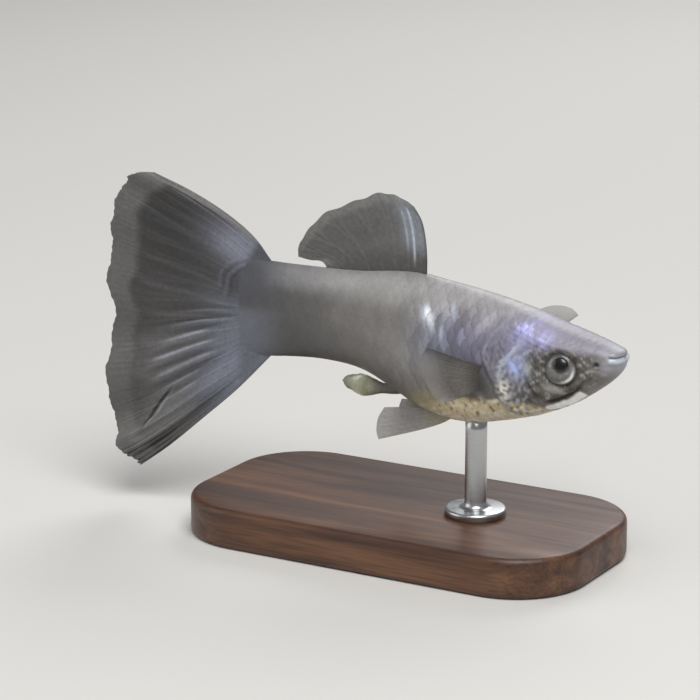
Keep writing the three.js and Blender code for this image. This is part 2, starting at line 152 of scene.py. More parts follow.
def paint(base, shape, layers):
    """Colours of a shape: a hex base colour, then layers in order, each mixed in by its mask from 0 to 1."""
    colours = np.broadcast_to(linear(base), shape + (3,))
    for mask, hex_colour in layers:
        m = np.clip(mask, 0, 1)[..., None]
        colours = colours * (1 - m) + linear(hex_colour) * m
    return colours


def ripple(a, b, seed):
    """Smooth irregular waves of two coordinates, from -1 to 1: a sum of six sines of seeded directions."""
    rng = np.random.default_rng(seed)
    total = np.zeros(np.broadcast(a, b).shape)
    for k in range(6):
        turn, phase = rng.uniform(0, 2 * math.pi, 2)
        rate = 1.0 + 0.35 * k
        total = total + np.sin(rate * (a * math.cos(turn) + b * math.sin(turn)) + phase)
    return total / 6 * 1.6


def curve(points, t):
    """A centripetal Catmull-Rom curve through points at parameters t from 0 to 1, as three numbers each."""
    p = np.array([list(q) + [0.0] * (3 - len(q)) for q in points])
    p = np.vstack([2 * p[0] - p[1], p, 2 * p[-1] - p[-2]])
    count = len(points) - 1
    x = np.clip(np.asarray(t) * count, 0, count - 1e-9)
    i = x.astype(int)
    w = (x - i)[..., None]
    a, b, c, d = p[i], p[i + 1], p[i + 2], p[i + 3]
    ab, bc, cd = (np.sqrt(np.linalg.norm(v, axis=-1, keepdims=True)) for v in (b - a, c - b, d - c))
    t1 = ((b - a) / ab - (c - a) / (ab + bc) + (c - b) / bc) * bc
    t2 = ((c - b) / bc - (d - b) / (bc + cd) + (d - c) / cd) * bc
    return b + t1 * w + (3 * (c - b) - 2 * t1 - t2) * w ** 2 + (2 * (b - c) + t1 + t2) * w ** 3


def midline(s):
    """The sideways bend of the body's middle: it grows with the square of the distance behind BEND_START."""
    return -BEND_DEPTH * (np.maximum(s - BEND_START, 0) / BEND_SPAN) ** 2


def section(column, s):
    """A column of the section table at s, by a smooth cubic in the square root of s."""
    q, y, x = np.sqrt(SECTIONS[:, 0]), SECTIONS[:, column], np.sqrt(np.maximum(s, 0))
    step = np.diff(y) / np.diff(q)
    width = np.diff(q)
    inner = (step[:-1] * width[1:] + step[1:] * width[:-1]) / (width[1:] + width[:-1])
    slope = np.concatenate([step[:1], inner, step[-1:]])
    i = np.clip(np.searchsorted(q, x, side="left") - 1, 0, len(q) - 2)
    t = (x - q[i]) / width[i]
    return ((2 * t ** 3 - 3 * t ** 2 + 1) * y[i] + (t ** 3 - 2 * t ** 2 + t) * width[i] * slope[i]
            + (3 * t ** 2 - 2 * t ** 3) * y[i + 1] + (t ** 3 - t ** 2) * width[i] * slope[i + 1])


def to_world(s, y, h):
    """Fish coordinates in millimetres to the frame's metres."""
    return np.stack(np.broadcast_arrays(SNOUT_X - s, y, SNOUT_Z + h), -1) * MM


def grid_normals(p, wrap):
    """Unit normals of a grid of points, from the cross product of its two directions."""
    along = np.gradient(p, axis=0)
    around = (np.roll(p, -1, 1) - np.roll(p, 1, 1)) if wrap else np.gradient(p, axis=1)
    n = np.cross(along, around)
    return n / (np.linalg.norm(n, axis=-1, keepdims=True) + 1e-15)


# Meshes

def make_piece(name, material, verts, faces, tones=None, values=None):
    """A smooth mesh piece from arrays, with a colour attribute and number attributes on its points."""
    mesh = bpy.data.meshes.new(name)
    mesh.from_pydata(verts.tolist(), [], faces)
    mesh.shade_smooth()
    if tones is not None:
        layer = mesh.color_attributes.new("tone", "FLOAT_COLOR", "POINT")
        rgba = np.concatenate([tones, np.ones((len(tones), 1))], 1)
        layer.data.foreach_set("color", rgba.astype(np.float32).ravel())
    for key, numbers in (values or {}).items():
        layer = mesh.attributes.new(key, "FLOAT", "POINT")
        layer.data.foreach_set("value", np.asarray(numbers, dtype=np.float32).ravel())
    mesh.materials.append(material)
    mesh.validate()
    piece = bpy.data.objects.new(name, mesh)
    bpy.context.scene.collection.objects.link(piece)
    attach(piece, "root")
    return piece


def net_faces(rows, columns):
    """Faces of a closed net: rows of rings, with a pole before the first ring and one after the last."""
    j, i = np.meshgrid(np.arange(rows - 1), np.arange(columns), indexing="ij")
    nxt = (i + 1) % columns
    quads = np.stack([j * columns + i, (j + 1) * columns + i, (j + 1) * columns + nxt, j * columns + nxt], -1)
    k = np.arange(columns)
    k2 = (k + 1) % columns
    first, last, end = rows * columns, rows * columns + 1, (rows - 1) * columns
    start_fan = np.stack([np.full(columns, first), k, k2], -1)
    end_fan = np.stack([np.full(columns, last), end + k2, end + k], -1)
    return quads.reshape(-1, 4).tolist() + start_fan.tolist() + end_fan.tolist()


def make_net(name, material, rings, tones=None, values=None, poles=None):
    """A closed piece from rings of points (rows, columns, 3). Its poles are the middles of the end rings,
    unless they are given."""
    rows, columns = rings.shape[:2]

    def with_poles(a):
        return np.concatenate([a.reshape(rows * columns, -1), a[:1].mean(1), a[-1:].mean(1)])

    verts = with_poles(rings)
    if poles is not None:
        verts[-2:] = poles
    flat_tones = with_poles(tones) if tones is not None else None
    flat_values = {key: with_poles(a[..., None]) for key, a in (values or {}).items()}
    return make_piece(name, material, verts, net_faces(rows, columns), flat_tones, flat_values)


# Materials

def add(tree, kind, settings=None, **links):
    """Adds a node, sets its properties and numbers, and links its inputs by name, or by number as _1."""
    node = tree.nodes.new(kind)
    for key, value in (settings or {}).items():
        if isinstance(key, int) or key in node.inputs:
            node.inputs[key].default_value = value
        else:
            setattr(node, key, value)
    for key, source in links.items():
        tree.links.new(source, node.inputs[int(key[1:]) if key[0] == "_" else key])
    return node


def new_material(name, **numbers):
    """An empty node material: its tree and its shader, with the shader's constant numbers set."""
    material = bpy.data.materials.new(name)
    material.use_nodes = True
    tree = material.node_tree
    tree.nodes.clear()
    shader = tree.nodes.new("ShaderNodeBsdfPrincipled")
    tree.links.new(shader.outputs[0], tree.nodes.new("ShaderNodeOutputMaterial").inputs[0])
    for key, value in numbers.items():
        shader.inputs[key.replace("_", " ")].default_value = value
    return material, tree, shader


def attribute(tree, name, output="Fac"):
    """A number or, from the output Color, a colour stored on the mesh."""
    return add(tree, "ShaderNodeAttribute", {"attribute_name": name}).outputs[output]


def feed(tree, shader, **sources):
    """Links sources to the shader's inputs of the same names."""
    for key, source in sources.items():
        tree.links.new(source, shader.inputs[key.replace("_", " ")])


def object_coords(tree, stretch=None, turn=0.0):
    """The piece's own coordinates in metres, where asked turned about Z and stretched along its axes."""
    where = tree.nodes.new("ShaderNodeTexCoord").outputs["Object"]
    if not stretch:
        return where
    settings = {"Scale": stretch, "Rotation": (0, 0, turn)}
    return add(tree, "ShaderNodeMapping", settings, Vector=where).outputs[0]


def noise(tree, where, scale, detail, roughness=0.5, distortion=0.0):
    """Noise from 0 to 1, with scale waves to the metre."""
    settings = {"Scale": scale, "Detail": detail, "Roughness": roughness, "Distortion": distortion}
    return add(tree, "ShaderNodeTexNoise", settings, Vector=where).outputs[0]


def spread(tree, source, low, high, start=0.3, end=0.7):
    """A number from start to end, spread from low to high."""
    return add(tree, "ShaderNodeMapRange", {1: start, 2: end, 3: low, 4: high}, _0=source).outputs[0]


def scaled(tree, colour, factor):
    """A colour times a number."""
    return add(tree, "ShaderNodeVectorMath", {"operation": "SCALE"}, _0=colour, Scale=factor).outputs[0]


def bump(tree, shader, height, strength, distance):
    """Fine relief on a shader, its depth in metres."""
    node = add(tree, "ShaderNodeBump", {"Strength": strength, "Distance": distance}, Height=height)
    feed(tree, shader, Normal=node.outputs[0])


def ramp(tree, source, stops):
    """A colour ramp over a number: stops are (position, hex colour)."""
    node = add(tree, "ShaderNodeValToRGB", Fac=source)
    elements = node.color_ramp.elements
    while len(elements) < len(stops):
        elements.new(0.5)
    for element, (place, colour) in zip(elements, stops):
        element.position = place
        element.color = (*linear(colour), 1)
    return node.outputs["Color"]


def skin_material():
    """Wet fish skin: mucus over scales. Dark pigment dots, satin gloss, silvery plates where guanine lies."""
    material, tree, shader = new_material(
        "wet_scaled_skin", IOR=1.38, Coat_Weight=0.12, Coat_Roughness=0.22, Subsurface_Weight=0.12,
        Subsurface_Radius=(0.0012, 0.0009, 0.0008), Subsurface_Scale=0.35)
    silver, where = attribute(tree, "silver"), object_coords(tree)
    # Pigment cells are about 0.1 mm apart; they are drawn at 0.16 mm, the finest that shows
    dots = spread(tree, noise(tree, where, 6200.0, 3.0, 0.6), 0.91, 1.09)
    clouds = spread(tree, noise(tree, where, 900.0, 4.0, 0.55), 0.92, 1.07)
    feed(tree, shader, Base_Color=scaled(tree, scaled(tree, attribute(tree, "tone", "Color"), dots), clouds),
         Roughness=spread(tree, silver, 0.46, 0.24, 0, 1), Metallic=spread(tree, silver, 0, 0.55, 0, 1))
    bump(tree, shader, noise(tree, where, 4200.0, 2.0), 0.12, 0.00003)
    return material


def fin_material(name, grain_scale):
    """Fin membrane: thin skin between bony rays, partly clear, with dark pigment grains along the rays."""
    material, tree, shader = new_material(name, Roughness=0.42, IOR=1.38, Coat_Weight=0.08,
                                          Coat_Roughness=0.25)
    grains = noise(tree, object_coords(tree), grain_scale, 4.0, 0.65)
    colour = scaled(tree, attribute(tree, "tone", "Color"), spread(tree, grains, 0.82, 1.16))
    feed(tree, shader, Base_Color=colour, Alpha=attribute(tree, "body"))
    bump(tree, shader, grains, 0.25, 0.00002)
    return material


def eye_material():
    """A wet fish eye: the coat is its clear cornea, and the iris below is dark pigment, made metallic under
    its painted reflection.
    """
    material, tree, shader = new_material("wet_eye", Roughness=0.3, IOR=1.4, Coat_Weight=1.0,
                                          Coat_Roughness=0.03, Coat_IOR=1.376)
    grains = noise(tree, object_coords(tree), 7000.0, 3.0, 0.6)
    colour = scaled(tree, attribute(tree, "tone", "Color"), spread(tree, grains, 0.7, 1.22))
    feed(tree, shader, Base_Color=colour, Metallic=spread(tree, attribute(tree, "silver"), 0, 0.6, 0, 1))
    return material


def walnut_material():
    """Oiled walnut, planed and sanded: brown heartwood with long dark bands and fine open pores along it."""
    material, tree, shader = new_material("oiled_walnut")
    # Growth bands are about 2 mm apart across the board and stretch along it
    bands = noise(tree, object_coords(tree, (0.09, 1.0, 1.4), 0.05), 430.0, 5.0, 0.6, 0.6)
    colour = ramp(tree, bands, [(0.3, "#2f1c12"), (0.47, "#4d3020"), (0.58, "#5f3f2a"), (0.72, "#734f36")])
    pores = noise(tree, object_coords(tree, (0.05, 1.0, 1.0)), 5200.0, 2.0)
    feed(tree, shader, Base_Color=scaled(tree, colour, spread(tree, pores, 0.62, 1.0, 0.3, 0.55)),
         Roughness=spread(tree, bands, 0.5, 0.36))
    bump(tree, shader, pores, 0.3, 0.00004)
    return material


def steel_material():
    """Brushed stainless steel, turned: fine rings round the rod."""
    material, tree, shader = new_material("brushed_stainless_steel", Metallic=1.0)
    rings = noise(tree, object_coords(tree, (0.08, 0.08, 1.0)), 9000.0, 2.0)
    feed(tree, shader, Base_Color=ramp(tree, rings, [(0.3, "#b7b9bb"), (0.7, "#bfc1c2")]),
         Roughness=spread(tree, rings, 0.27, 0.33))
    bump(tree, shader, rings, 0.12, 0.00001)
    return material


def floor_material():
    """A matt pale studio board."""
    return new_material("pale_board", Base_Color=(*linear("#d2d0cc"), 1), Roughness=0.9)[0]


# The skin

# Rows lie closer together towards the snout, by this power of their share of the length
SKIN_ROWS, SKIN_COLUMNS, ROW_CROWDING = 330, 288, 1.35
# Half width and half height of a typical section, for even steps round it
MEAN_WIDTH, MEAN_HEIGHT = 2.9, 5.0


def edge_distance(s, h, line):
    """How far behind a curved line, given as (s, h) points from top to bottom, each point lies along s."""
    smooth_line = curve(line, np.linspace(0, 1, 200))
    order = np.argsort(smooth_line[:, 1])
    return s - np.interp(h, smooth_line[order, 1], smooth_line[order, 0])


def line_distance(s, h, points):
    """Shortest distance from each point to a curve in the side view."""
    line = curve(points, np.linspace(0, 1, 40))
    best = np.full(s.shape, 1e9)
    for a, b in zip(line[:-1], line[1:]):
        step = b[:2] - a[:2]
        t = np.clip(((s - a[0]) * step[0] + (h - a[1]) * step[1]) / (step @ step), 0, 1)
        best = np.minimum(best, np.hypot(s - a[0] - t * step[0], h - a[1] - t * step[1]))
    return best


def scale_pattern(s, across):
    """Overlapping scales in staggered half rows: the rise towards each free edge, the nearness to that edge,
    and a number for each scale, a seedless hash of its place in its row, that sets its painted glint.

    Each free edge is an arc that bulges back. Of the two rows that reach a point, the scale whose centre lies
    further forward is on top, as on a real fish.
    """
    a = s / SCALE_PITCH
    b = across * SCALE_ROWS
    low = np.floor(b)
    found = []
    for row in (low, low + 1):
        off = b - row
        reach = 0.75 * np.sqrt(np.clip(1 - (off / 1.12) ** 2, 0, 1))
        stagger = 0.5 * np.mod(row, 2)
        gap = np.mod(stagger + reach - a, 1.0)
        centre = a + gap - reach
        mix = np.sin(np.round(centre - stagger) * 12.99 + row * 78.23) * 43758.5
        found.append((centre, gap, mix - np.floor(mix)))
    on_top = found[1][0] < found[0][0]
    gap = np.where(on_top, found[1][1], found[0][1])
    shade = np.where(on_top, found[1][2], found[0][2])
    rise = smooth(0.0, 0.2, gap) * (1 - gap)
    return rise, bell(gap - 0.05, 0.13), shade


def skin_surface():
    """The body as a net of points with its relief, its tones and how silvery it is.

    A section is two half superellipses that share their widest level. The relief is added along the normals.
    """
    s = SKIN_LENGTH * (np.arange(1, SKIN_ROWS + 1) / SKIN_ROWS)[:, None] ** ROW_CROWDING
    dense = np.linspace(0, 2 * math.pi, 2001)
    steps = np.hypot(np.diff(MEAN_WIDTH * np.sin(dense)), np.diff(MEAN_HEIGHT * np.cos(dense)))
    arc = np.concatenate([[0], np.cumsum(steps)]) / steps.sum()
    turn = np.arange(SKIN_COLUMNS) / SKIN_COLUMNS
    angle = np.interp(turn, arc, dense)[None, :]
    top, bottom, mid, half, round_up, round_down = (section(k, s) for k in range(1, 7))
    up = np.cos(angle)
    power = 2 / np.where(up > 0, round_up, round_down)
    y = half * np.sign(np.sin(angle)) * np.abs(np.sin(angle)) ** power
    h = mid + np.where(up > 0, top - mid, mid - bottom) * np.sign(up) * np.abs(up) ** power
    s = np.broadcast_to(s, h.shape)
    points = to_world(s, y + midline(s), h)
    normals = grid_normals(points, wrap=True)
    outward = np.sum(normals * (points - to_world(s, midline(s), mid + 0 * h)), -1)
    normals = normals * np.sign(outward)[..., None]
    at = skin_places(s, y, h, top, bottom, mid, half, 1 - np.abs(1 - 2 * turn)[None, :] + 0 * h)
    tones, silver = skin_colours(at)
    return points + normals * (skin_relief(at) * MM)[..., None], tones, silver


def skin_places(s, y, h, top, bottom, mid, half, across):
    """Measures of each point that relief and colour share: distances to the head's lines, and soft regions.

    across runs from 0 on the back to 1 on the belly, and reach from 1 on the back to -1 on the belly.
    """
    at = SimpleNamespace(s=s, h=h, lateral=np.abs(y))
    at.reach = np.where(h > mid, (h - mid) / (top - mid + 1e-6), (h - mid) / (mid - bottom + 1e-6))
    at.flank = smooth(0.1, 0.35, np.abs(y) / np.maximum(half, 0.05))
    at.gill = edge_distance(s, h, GILL_LINE) + 0.05 * ripple(s * 3, h * 5, 30)
    at.gill_reach = smooth(2.9, 1.6, h) * smooth(-5.9, -4.9, h)
    at.plate = edge_distance(s, h, PLATE_LINE) + 0.12 * ripple(s * 5, h * 6, 33)
    at.plate_reach = smooth(1.3, 0.2, h) * smooth(-4.5, -4.0, h)
    at.rise, at.edge, at.shade = scale_pattern(s + 0.15 * np.sin(across * 9), across)
    behind_head = smooth(-0.4, 0.4, at.gill) + smooth(5.5, 7.5, s) * smooth(0.4, 1.6, h) * 0.7
    at.scaled = np.clip(behind_head, 0, 1) * smooth(31.8, 29.5, s)
    at.mouth = 1 - smooth(MOUTH_DEPTH - 0.15, MOUTH_DEPTH + 0.1, s)
    at.from_line = h - MOUTH_LEVEL - 0.04 * smooth(0, 1, s)
    at.nostril = np.hypot(s - NOSTRIL_S, h - NOSTRIL_H)
    at.nostril_side = smooth(0.8, 1.1, at.lateral)
    at.fold = line_distance(s, h, CHEEK_FOLD)
    at.crease = line_distance(s, h, THROAT_CREASE)
    return at


def skin_relief(at):
    """How far the skin stands out from the plain body, in millimetres: a sum of steps and bells."""
    s, h, flank = at.s, at.h, at.flank
    cover = smooth(-0.2, -0.6, at.gill) * smooth(6.6, 7.4, s)
    scales = np.clip(at.scaled * (1 - 0.45 * smooth(16, 24, s)) + 0.3 * cover, 0, 1)
    ring = np.hypot(s - EYE_S, (h - EYE_H) * 1.02)
    behind_eye = smooth(-0.9, 0.6, (s - EYE_S) * 0.75 - (h - EYE_H) * 0.65)
    cheek = within(2.0, 2.8, 7.4, 8.2, s) * flank
    dish = np.hypot(s - EYE_S + 0.12, h - EYE_H)
    eye_side = smooth(1.0, 1.4, at.lateral)
    return sum((
        SCALE_RISE * at.rise * scales,
        # Gill cover: it swells towards its rear edge, drops there, and its bony plate has a step
        0.09 * within(-2.6, -0.4, -0.12, 0.3, at.gill) * at.gill_reach,
        -0.03 * bell(at.gill - 0.35, 0.2) * at.gill_reach,
        0.08 * (smooth(-0.9, -0.1, at.plate) - smooth(-0.06, 0.06, at.plate)) * at.plate_reach * flank,
        # Cheek: folds that curve round behind and under the eye
        0.05 * (bell(ring - 1.85, 0.24) - bell(ring - 2.2, 0.2)) * behind_eye * cheek,
        0.05 * bell(at.fold - 0.32, 0.2) * cheek - 0.07 * bell(at.fold, 0.13) * flank,
        # Ridge over the eye from the snout to the shoulder, and fine lumps of cheek and head
        0.06 * bell(line_distance(s, h, BROW_RIDGE), 0.24) * within(1.0, 2.2, 6.6, 8.0, s) * flank,
        0.035 * ripple(s * 4.2, h * 4.2 + at.lateral, 5) * cheek * smooth(0.8, 0.2, h),
        0.015 * ripple(s * 8, h * 8, 6) * within(0.6, 1.6, 7, 9, s),
        # Eye: a low rim, and a dish in which the ball lies
        0.05 * bell(dish - 1.62, 0.14) * eye_side,
        -0.3 * smooth(1.58, 1.2, dish) * eye_side,
        -0.6 * smooth(1.2, 1.02, dish) * eye_side,
        # Nostrils: a pit with a low rim
        -0.2 * bell(at.nostril, NOSTRIL_RADIUS * 0.8) * at.nostril_side,
        0.05 * bell(at.nostril - 0.3, 0.1) * at.nostril_side,
        # Mouth: a line round the tip of the snout between an upper and a lower lip, and the chin's fold
        0.05 * bell(at.from_line - 0.24, 0.14) * at.mouth,
        0.1 * bell(at.from_line + 0.26, 0.2) * at.mouth,
        -0.13 * bell(at.from_line, 0.05) * at.mouth,
        -0.03 * bell(at.from_line + 0.72, 0.14) * smooth(2.2, 1.4, s),
        # Lower jaw: a groove from the corner of the mouth down and back, and the crease over the throat
        -0.07 * bell(line_distance(s, h, JAW_GROOVE), 0.11) * smooth(0.8, 1.2, at.lateral),
        -0.12 * bell(at.crease, 0.13) * smooth(2.2, 3.0, s) * flank,
    ))


def flank_layers(at):
    """Greys of back, flank and tail stalk, with painted light along the back and painted shade low on the
    rear body, a violet sheen on the shoulder, and how silvery that is.
    """
    s, h, reach = at.s, at.h, at.reach
    cloud = smooth(0.2, 0.9, ripple(s * 1.1, h * 1.3, 13)) * within(16, 19, 22, 27, s)
    violet = within(5.2, 7.5, 12, 17.5, s) * within(-3.0, -0.6, 1.6, 3.2, h)
    return [
        # Painted light: the back lighter, where light from above falls
        (smooth(0.35, 0.8, reach), "#959391"),
        # Painted shade: darker low on the rear body
        (smooth(-0.1, -0.6, reach) * smooth(15, 18, s) * 0.5, "#6b6967"),
        (smooth(0.85, 1.0, reach) * smooth(15, 17, s) * 0.5, "#7e7c79"),
        (smooth(20, 29, s) * smooth(0.8, 0.4, reach) * 0.88, "#4f4e4e"),
        (smooth(22, 30.5, s) * smooth(0.3, 0.8, reach) * 0.8, "#6c6c70"),
        (smooth(28.5, 31.8, s) * smooth(0.6, -0.6, h) * 0.95, "#63666f"),
        (smooth(28.0, 31.8, s) * smooth(-0.6, 0.6, h) * 0.95, "#4c4d53"),
        (0.2 * cloud, "#8d8b89"),
        (spots(s, h, (0.7, 17.3, -1.8, 2.4, 1.8)), "#8c8a88"),
        (violet * 0.78, "#7f7b93"),
        (0.6 * within(5.5, 7, 10, 19, s) * smooth(0.3, 0.7, reach), "#a19ea2"),
        (spots(s, h, (0.6, 11.7, -1.9, 1.8, 1.6)), "#63606a"),
        (spots(s, h, (0.55, 14.6, -0.2, 2.2, 1.6)), "#7c8292"),
    ], 0.12 * violet


def belly_layers(at):
    """Cream and gold over the belly's lining, from the throat to the vent, with painted shade round the
    pectoral fin's root, a painted shadow under that fin, and an olive mark.
    """
    s, h = at.s, at.h
    above = h - np.interp(s, BELLY_S, BELLY_TOP) - 0.14 * ripple(s * 3, h * 3, 20)
    belly = smooth(0.25, -0.35, above) * within(5.2, 6.2, 14.5, 18.0, s)
    return [
        (belly * 0.95, "#cdc09d"),
        (belly * spots(s, h, (0.6, 11.8, -5.2, 2.6, 0.8)), "#fff0cc"),
        (belly * smooth(0.0, 0.7, ripple(s * 4.4, h * 5, 21)) * 0.85, "#f6f0d8"),
        (belly * smooth(0.35, 0.9, ripple(s * 5, h * 4.4, 22)) * 0.75, "#6d5836"),
        (smooth(-0.8, -0.95, at.reach) * within(5.2, 7, 13, 17, s) * 0.7, "#ebe4d3"),
        # Painted shade round the pectoral fin's root, then a painted shadow under that fin
        (spots(s, h, (0.75, 10.9, -2.7, 0.75, 1.2, -20)), "#35322f"),
        (spots(s, h, (0.7, 11.9, -4.0, 1.2, 0.28, 12)), "#2b2724"),
        (spots(s, h, (0.75, 16.0, -5.2, 2.2, 0.9, -20)), "#a9a07f"),
    ], 0.2 * belly


def head_layers(at):
    """A pale top of the head, a dark mottled cheek, pale lips and jaw, painted shade in the nostrils, the
    cheek fold and the throat crease, and a painted highlight, a white band under the throat.
    """
    s, h, flank = at.s, at.h, at.flank
    head = 1 - smooth(6.0, 8.0, s)
    crown = smooth(0.1, 0.9, ripple(s * 6, (h + at.lateral) * 6, 4)) * smooth(0, 0.5, h)
    under = smooth(0.5, -0.1, h - 0.12 * (s - 2) * smooth(2, 5, s))
    jaw_line = np.where(s < 4.2, 0.75 * (s - 2.2), 1.5)
    cheek = within(1.3, 2.3, 7.0, 8.0, s) * under * flank * smooth(-0.12, 0.25, h + 2.5 + jaw_line)
    mottle = 0.65 * ripple(s * 4, h * 4.6, 11) + 0.5 * ripple(s * 9, h * 8, 12)
    lumps = spots(s, h, (1, 5.3, -2.6, 0.45, 0.35), (1, 4.45, -2.8, 0.5, 0.28, 20),
                  (0.8, 1.86, -0.95, 0.32, 0.16), (0.8, 1.1, -1.15, 0.22, 0.18))
    darks = spots(s, h, (1, 3.85, -2.2, 0.45, 0.22, 30), (1, 3.0, -2.2, 0.5, 0.35, 35),
                  (1, 6.2, -0.6, 0.28, 0.5), (0.8, 6.1, -3.3, 0.6, 0.22, -20))
    return [
        (head * smooth(-0.1, 0.45, h + 0.12 * ripple(s * 3, h * 3, 3)), "#8d8992"),
        (head * crown * 0.35, "#77727a"),
        (cheek * 0.95, "#5f5d59"),
        (cheek * smooth(0.0, 0.7, mottle) * 0.85, "#9c9994"),
        (cheek * smooth(0.1, 0.8, -mottle) * 0.6, "#35312e"),
        (lumps * flank, "#a5a29c"),
        (darks * 0.75 * flank, "#353029"),
        (spots(s, h, (0.8, 2.3, -2.6, 1.0, 0.45, 38)), "#817d7d"),
        (smooth(1.7, 0.7, s) * smooth(-1.6, -0.7, h), "#98989e"),
        (bell(at.from_line + 0.24, 0.17) * at.mouth, "#c9d2de"),
        (bell(at.from_line - 0.01, 0.04) * at.mouth * 0.55, "#575c63"),
        # Painted shade in the nostril's pit
        (bell(at.nostril, NOSTRIL_RADIUS) * at.nostril_side, "#262229"),
        # Painted shade along the cheek fold's groove
        (bell(at.fold, 0.14) * flank * 0.6 * smooth(0.4, -0.5, h), "#3b3734"),
        # Painted shade in the throat crease
        (bell(at.crease - 0.05, 0.13) * smooth(2.4, 3.2, s) * flank, "#2f2521"),
        # Painted highlight: a white band under the throat
        (smooth(0.34, 0.16, line_distance(s, h, THROAT_HIGHLIGHT_LINE)), "#f7f7f6"),
    ], 0.2 * at.mouth


def gill_layers(at):
    """Blue and lavender plates of the gill cover, a pale edge, a dark soft flap and painted shade in the gap
    behind it.
    """
    s, h, gill, plate = at.s, at.h, at.gill, at.plate
    cells = ripple(s * 6, h * 6, 31)
    side = at.gill_reach * at.flank
    cover = smooth(6.4, 7.4, s) * smooth(0.1, -0.1, gill) * side
    flap = smooth(-0.02, 0.2, plate) * smooth(-0.05, -0.25, gill) * side
    plate_edge = bell(plate + 0.17, 0.2) * at.plate_reach * at.flank
    pale = spots(s, h, (1.2, 8.9, -3.3, 0.5, 1.0, 14)) * smooth(-0.5, 0.4, ripple(s * 7, h * 6, 36))
    lavender = spots(s, h, (1, 7.35, 1.65, 0.85, 0.48, -25), (0.6, 5.65, 1.1, 0.5, 0.55, 10),
                     (0.55, 6.6, 0.95, 1.6, 0.75, -12))
    blue = spots(s, h, (1, 7.92, -1.15, 0.2, 0.62, -32), (0.4, 7.6, -1.0, 0.75, 0.85))
    return [
        (cover * smooth(-3.6, -1.6, h) * 0.55, "#8a8ba0"),
        (cover * smooth(0.0, 0.8, cells) * 0.8, "#aeb0c0"),
        (cover * smooth(0.1, 0.8, -cells) * 0.6 * smooth(0.2, -1.2, h), "#4b4845"),
        (flap * 0.7, "#77747e"),
        (flap * smooth(-0.1, 0.9, ripple(s * 6, h * 6, 34)) * 0.6 * smooth(1.4, 0.4, h), "#413e46"),
        (plate_edge * 0.85, "#b7bac2"),
        (pale, "#f2eee0"),
        (bell(gill + 0.16, 0.13) * side * 0.3, "#9c9ba5"),
        # Painted shade in the gap behind the cover's edge
        (bell(gill - 0.2, 0.28) * side * 0.4, "#56535d"),
        (lavender * (0.7 + 0.5 * ripple(s * 6, h * 7, 35)), "#b1aee2"),
        (blue, "#aebdee"),
        (spots(s, h, (0.7, 6.75, -1.15, 0.3, 0.45)), "#b4bcb8"),
    ], 0.2 * lavender + 0.4 * blue + 0.25 * cover * smooth(0.2, 0.8, cells) + 0.25 * plate_edge


def shoulder_layers(at):
    """Single scales of the shoulder that catch the light."""
    streaks = spots(at.s, at.h, (1, 15.45, 1.55, 0.42, 0.85, -32), (0.6, 13.35, 2.3, 0.2, 0.6, -18),
                    (0.35, 14.15, 0.7, 0.18, 0.9, -6))
    bright = spots(at.s, at.h, (1.2, 15.35, 1.7, 0.26, 0.55, -32))
    return [(streaks, "#ccd4e2"), (bright, "#fbfdff")], 0.4 * streaks


def skin_colours(at):
    """The skin's tone and how silvery it is: each region's layers in order, then a painted glint and a darker
    edge on every scale.
    """
    layers, silver = [], 0.0
    for region in (flank_layers, belly_layers, head_layers, gill_layers, shoulder_layers):
        more, shine = region(at)
        layers += more
        silver = silver + shine
    tones = paint("#75726f", at.h.shape, layers)
    shoulder = within(9.5, 11, 15, 18, at.s) * within(-2.0, -0.6, 2.2, 3.2, at.h)
    # Painted glints: scales brighter or darker at random, most on the shoulder
    glint = at.scaled * (0.12 + 0.3 * shoulder) * (1 - 0.6 * smooth(17, 22, at.s))
    rim = at.scaled * at.edge * (0.05 + 0.13 * shoulder + 0.05 * smooth(20, 16, at.s))
    return tones * ((1 + glint * (at.shade - 0.5) * 1.6) * (1 - rim))[..., None], np.clip(silver, 0, 1)


def make_skin(material):
    """One closed skin over head, trunk and tail stalk."""
    rings, tones, silver = skin_surface()
    poles = rings[[0, -1]].mean(1) + np.array([[0.004, 0, 0], [-0.02, 0, 0]]) * MM
    piece = make_net("skin", material, rings, tones, {"silver": silver}, poles)
    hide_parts("head", "trunk", "tail_stalk")


# Eyes

# Half angle of the pupil in degrees, and how far it looks up and forwards, in radians
PUPIL_ANGLE, PUPIL_UP, PUPIL_FORWARD = 27.0, 0.34, 0.1


